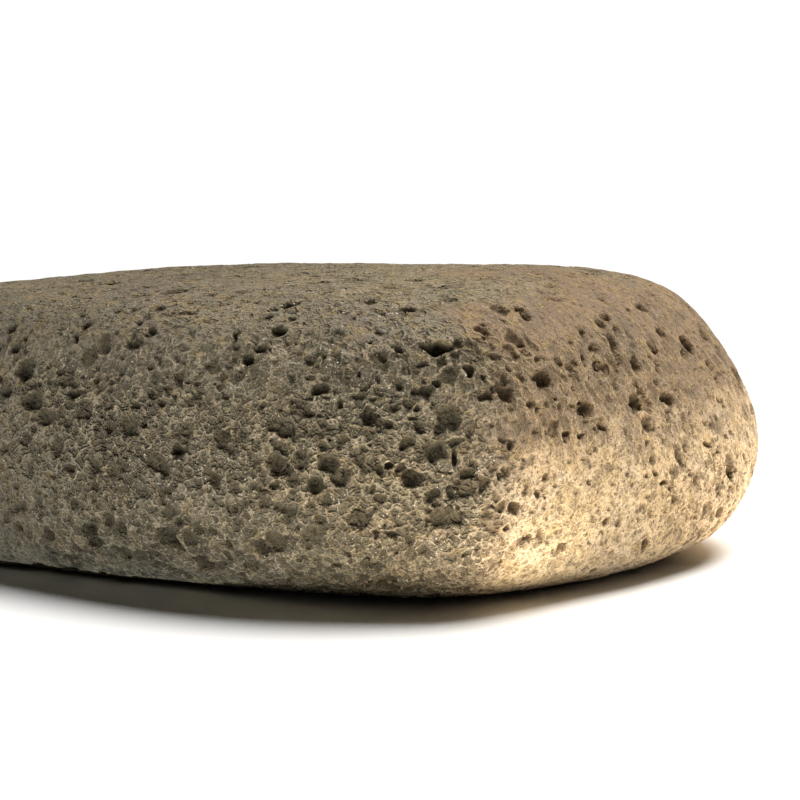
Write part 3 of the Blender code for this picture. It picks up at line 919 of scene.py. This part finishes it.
# Painted shade: the colour darkens towards the far end, where less light falls.
SHADE_ALONG_THE_STONE = (-15.0, 20.0, 0.80, 1.0)  # it is duller towards the far end
SHARP_SKIN, SHARP_FRONT = (0.3, 0.9, 1.0, 0.4), (0.0, 1.0, 1.0, 0.65)
ROUGHNESS = (0.3, 0.8, 0.95, 0.8)


def pumice_material():
    """Colours go on from the skin down: walls, pale with wear and a painted highlight; rust; dents
    and holes, dark with painted shade; pore floors and pits, dark with dust and painted shade;
    crystals and painted glints; and grain, darker towards the far end with painted shade. The same
    pits, holes and dents then go into the bumps."""
    nodes = Nodes("worn pumice")
    in_millimetres = {
        "Vector": nodes.node("ShaderNodeTexCoord").outputs["Object"], "Scale": (1 / MM,) * 3}
    place = nodes.node("ShaderNodeMapping", in_millimetres).outputs[0]
    along, _, height = nodes.node("ShaderNodeSeparateXYZ", {0: place}).outputs
    depth, tight, foamy = (nodes.attribute(name) for name in ("depth", "tightness", "foaminess"))
    bend = {"Vector": place, "Scale": BEND_SCALE, "Detail": 1.0}
    bend = nodes.node("ShaderNodeTexNoise", bend).outputs["Color"]
    bent = {0: bend, 1: (CELL_BEND,) * 3, 2: place}
    bent = nodes.node("ShaderNodeVectorMath", bent, operation="MULTIPLY_ADD").outputs[0]
    blotches = nodes.noise(place, BLOTCH_SCALE, 2.0, 0.6)
    grain = nodes.noise(place, GRAIN_SCALE, 2.0, 0.7)
    grit = nodes.noise(place, GRIT_SCALE, 3.0, 0.75)

    openness = nodes.math("MULTIPLY", nodes.step(blotches, *OPENNESS), foamy)
    finest = nodes.step(blotches, *FINEST_OPENNESS)
    finest = nodes.math("MULTIPLY_ADD", foamy, FINEST_BY_FOAM, finest)
    shares = (openness, openness, finest)
    cells = [foam_cells(nodes, bent, width, share) for (width, _), share in zip(CELL_SIZES, shares)]
    holes = [round_holes(nodes, bent, width, share) for width, share, _ in HOLE_SIZES]
    dented = nodes.math("MULTIPLY", tight, nodes.step(height, *DENTED_FROM, 0.0, DENT_SHARE))
    dented = nodes.math("MULTIPLY", dented, nodes.step(height, *DENTED_TO, 1.0, 0.0))
    dents = round_holes(nodes, bent, DENT_WIDTH, dented, DENT_SHAPE)
    walls = nodes.math("MAXIMUM", nodes.math("MAXIMUM", cells[0][1], cells[1][1]), cells[2][1])
    walls = nodes.math("MULTIPLY", walls, nodes.step(grit, *GRITTY_WALLS))
    walls = nodes.math("MULTIPLY", walls, nodes.step(foamy, *FOAMY_WALLS))

    colour = skin_colour(nodes, place, blotches, tight, foamy)
    # Pale rims: rubbed glass and a painted highlight.
    colour = nodes.blend(walls, colour, PALE_WALL_AND_HIGHLIGHT)
    rust = nodes.step(nodes.noise(place, RUST[0], 2.0, 0.6), *RUST[1:], 0.0, RUST_SHARE)
    colour = nodes.blend(rust, colour, OCHRE)
    # Soft dents on the upper near end are darkened with painted shade.
    colour = nodes.blend(nodes.math("MULTIPLY", dents, DENT_SHADE_SHARE), colour, DENT_SHADE)
    # Pores darken with depth: dust, and painted shade that is near black at the core.
    pore_dust_and_shade = nodes.blend(tight, PORE_DUST_AND_SHADE, TAN_DUST_AND_SHADE)
    colour = nodes.blend(nodes.step(depth, *PORE_WALL), colour, pore_dust_and_shade)
    dark = nodes.step(tight, 0.0, 1.0, 1.0, CORE_SHARE_ON_END)
    dark = nodes.math("MULTIPLY", nodes.step(depth, *PORE_CORE), dark)
    colour = nodes.blend(dark, colour, PORE_SHADE)
    contrast = nodes.step(foamy, *CONTRAST)
    # Fine pits are dark with dust and with painted shade.
    dust_and_shade = nodes.blend(tight, PIT, TAN_PIT)
    for pit, _ in cells:
        colour = nodes.blend(nodes.math("MULTIPLY", pit, contrast), colour, dust_and_shade)
    # Small holes are darkened with painted shade.
    for hole in holes:
        colour = nodes.blend(nodes.math("MULTIPLY", hole, HOLE_SHADE_SHARE), colour, HOLE_SHADE)
    colour = with_crystals_and_glints(nodes, place, depth, tight, colour)
    mottle = nodes.step(grain, *MOTTLE)
    # Painted shade towards the far end.
    mottle = nodes.math("MULTIPLY", mottle, nodes.step(along, *SHADE_ALONG_THE_STONE))
    shade = nodes.node("ShaderNodeCombineColor", {0: mottle, 1: mottle, 2: mottle}).outputs[0]
    nodes.feed(nodes.shader.inputs["Base Color"], nodes.blend(1.0, colour, shade, "MULTIPLY"))

    relief = nodes.math("MULTIPLY", grit, GRIT_HEIGHT)
    relief = nodes.math("MULTIPLY_ADD", grain, GRAIN_HEIGHT, relief)
    deeper = [(pit, deep) for (pit, _), (_, deep) in zip(cells, CELL_SIZES)]
    deeper += [(hole, deep) for hole, (_, _, deep) in zip(holes, HOLE_SIZES)]
    deeper += [(dents, DENT_DEPTH)]
    for pit, deep in deeper:
        relief = nodes.math("MULTIPLY_ADD", pit, -deep, relief)
    sharpness = nodes.step(depth, *SHARP_SKIN)
    sharpness = nodes.math("MULTIPLY", nodes.step(tight, *SHARP_FRONT), sharpness)
    bump = nodes.node("ShaderNodeBump", {"Height": relief, "Distance": MM, "Strength": sharpness})
    nodes.feed(nodes.shader.inputs["Normal"], bump.outputs[0])
    nodes.feed(nodes.shader.inputs["Roughness"], nodes.step(grain, *ROUGHNESS))
    return nodes.material


stone.data.materials.clear()
stone.data.materials.append(pumice_material())
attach(stone, "root")
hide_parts("pumice_stone")
print(f"material: {len(stone.data.materials[0].node_tree.nodes)} nodes")

# %% [markdown]
# ## Floor, light and camera
#
# The photograph's floor is burnt out to white, so it throws more light up at the stone than white
# paint could. That light makes the near end glow and shows its crisp edge, while the front stays
# dim. Lamps that lie on the floor and face up stand in for it. They leave the floor itself, and
# the shadow on it, alone. A wide soft light from above and behind makes that shadow.

# %% Floor
FLOOR_HALF = 3.0
FLOOR_COLOUR, FLOOR_ROUGHNESS = (0.88, 0.91, 0.96), 0.9
floor_mesh = bpy.data.meshes.new("floor")
floor_corners = [(-FLOOR_HALF, -FLOOR_HALF, 0), (FLOOR_HALF, -FLOOR_HALF, 0),
                 (FLOOR_HALF, FLOOR_HALF, 0), (-FLOOR_HALF, FLOOR_HALF, 0)]
floor_mesh.from_pydata(floor_corners, [], [(0, 1, 2, 3)])
floor = bpy.data.objects.new("floor", floor_mesh)
bpy.context.collection.objects.link(floor)
floor_nodes = Nodes("pale floor")
floor_nodes.feed(floor_nodes.shader.inputs["Base Color"], rgb(*FLOOR_COLOUR))
floor_nodes.feed(floor_nodes.shader.inputs["Roughness"], FLOOR_ROUGHNESS)
floor_mesh.materials.append(floor_nodes.material)
floor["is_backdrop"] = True
print("floor:", 2 * FLOOR_HALF, "m wide")

# %% Lamps
EDGE_FOOT = (43.3, -32.1)
# How far the long side is turned, the reach along it and across it in millimetres from the foot of
# the crisp edge, the brightness and the colour
FLOOR_LAMPS = {
    "right of the end": (26, (30, 130), (0, 100), 3.4, (1.0, 0.82, 0.62)),
    "strip along the edge's sight": (18, (3, 70), (-8, 8), 3.0, (1.0, 0.93, 0.70)),
    "before the end": (26, (0, 25), (-20, 0), 5.2, (1.0, 0.76, 0.62)),
    "before the edge": (26, (-22, 0), (-24, -1), 2.8, (1.0, 0.86, 0.66)),
    "at the front's foot": (-10, (-130, -12), (-22, -6), 0.5, (0.93, 1.0, 1.0)),
    "before the front": (8, (-200, 0), (-120, -25), 2.55, (1.0, 0.96, 0.89)),
}
LAMP_LIFT = 1.0
# The way to it from the stone, its strength, how many degrees wide it looks, and its colour
OVERHEAD = (52, 69, 4.12, 29, (1.0, 0.96, 0.90))
# Its place, what it faces and its size in millimetres, its power and its colour
NEAR_LAMP = ((91, 71, 197), (45, 0, 15), 120, 0.16, (1.0, 0.78, 0.55))


def lamp(name, kind, place, facing, colour):
    """A lamp at a place in millimetres, which shines along a direction and isn't seen itself."""
    light = bpy.data.lights.new(name, kind)
    light.color = colour
    thing = bpy.data.objects.new(name, light)
    thing.location = Vector(place) * MM
    thing.rotation_mode = "QUATERNION"
    thing.rotation_quaternion = Vector(facing).to_track_quat("-Z", "Y")
    thing.visible_camera = False
    bpy.context.collection.objects.link(thing)
    return thing


def floor_lamp(name, turn, along, across, brightness, colour):
    """A rectangle on the floor that faces up. Its power is its brightness times pi times its
    area."""
    ahead, aside = unit_directions(turn, 0.0), unit_directions(turn + 90.0, 0.0)
    place = np.array((*EDGE_FOOT, LAMP_LIFT)) + ahead * sum(along) / 2 + aside * sum(across) / 2
    place[:2] += middle[:2]
    thing = lamp(name, "AREA", place, (0, 0, 1), colour)
    face_up = Quaternion((1, 0, 0), math.pi)
    thing.rotation_quaternion = Quaternion((0, 0, 1), math.radians(turn)) @ face_up
    thing.data.shape = "RECTANGLE"
    thing.data.size, thing.data.size_y = np.ptp(along) * MM, np.ptp(across) * MM
    thing.data.energy = brightness * math.pi * thing.data.size * thing.data.size_y


for name, row in FLOOR_LAMPS.items():
    floor_lamp(name, *row)
azimuth, elevation, strength, spread, colour = OVERHEAD
down = -unit_directions(azimuth, elevation)
overhead = lamp("wide soft light from above", "SUN", (0, 0, 0), down, colour)
overhead.data.energy, overhead.data.angle = strength, math.radians(spread)
place, target, size, power, colour = NEAR_LAMP
near_lamp = lamp("warm lamp over the near end", "AREA", place, np.subtract(target, place), colour)
near_lamp.data.size, near_lamp.data.energy = size * MM, power
print(f"lamps: {len(FLOOR_LAMPS)} on the floor, 2 above")

# %% Surroundings: white to the camera, nearly dark to the stone
WORLD_SEEN, WORLD_LIGHT = 1.2, 0.01
world = bpy.data.worlds.new("studio")
bpy.context.scene.world = world
world.use_nodes = True
background = world.node_tree.nodes["Background"]
background.inputs["Color"].default_value = (1, 1, 1, 1)
path = world.node_tree.nodes.new("ShaderNodeLightPath")
strength = world.node_tree.nodes.new("ShaderNodeMapRange")
strength.inputs["To Min"].default_value = WORLD_LIGHT
strength.inputs["To Max"].default_value = WORLD_SEEN
world.node_tree.links.new(path.outputs["Is Camera Ray"], strength.inputs["Value"])
world.node_tree.links.new(strength.outputs[0], background.inputs["Strength"])
bpy.context.scene.view_settings.view_transform = "Standard"
print("surroundings:", WORLD_SEEN, "to the camera,", WORLD_LIGHT, "to the stone")

# %% Camera
SENSOR_WIDTH = 36.0
PICTURE_WIDTH = 800
eye, ahead, _, _ = picture_axes()
camera = bpy.data.objects.new("camera", bpy.data.cameras.new("camera"))
camera.data.sensor_width = SENSOR_WIDTH
camera.data.lens = SENSOR_WIDTH * PICTURE_REACH / PICTURE_WIDTH
camera.data.clip_start = 0.01
camera.location = (eye + middle) * MM
camera.rotation_mode = "QUATERNION"
camera.rotation_quaternion = Vector(ahead).to_track_quat("-Z", "Y")
bpy.context.collection.objects.link(camera)
bpy.context.scene.camera = camera
print(f"camera: a {camera.data.lens:.0f} mm lens, {EYE_DISTANCE} mm from what it looks at")
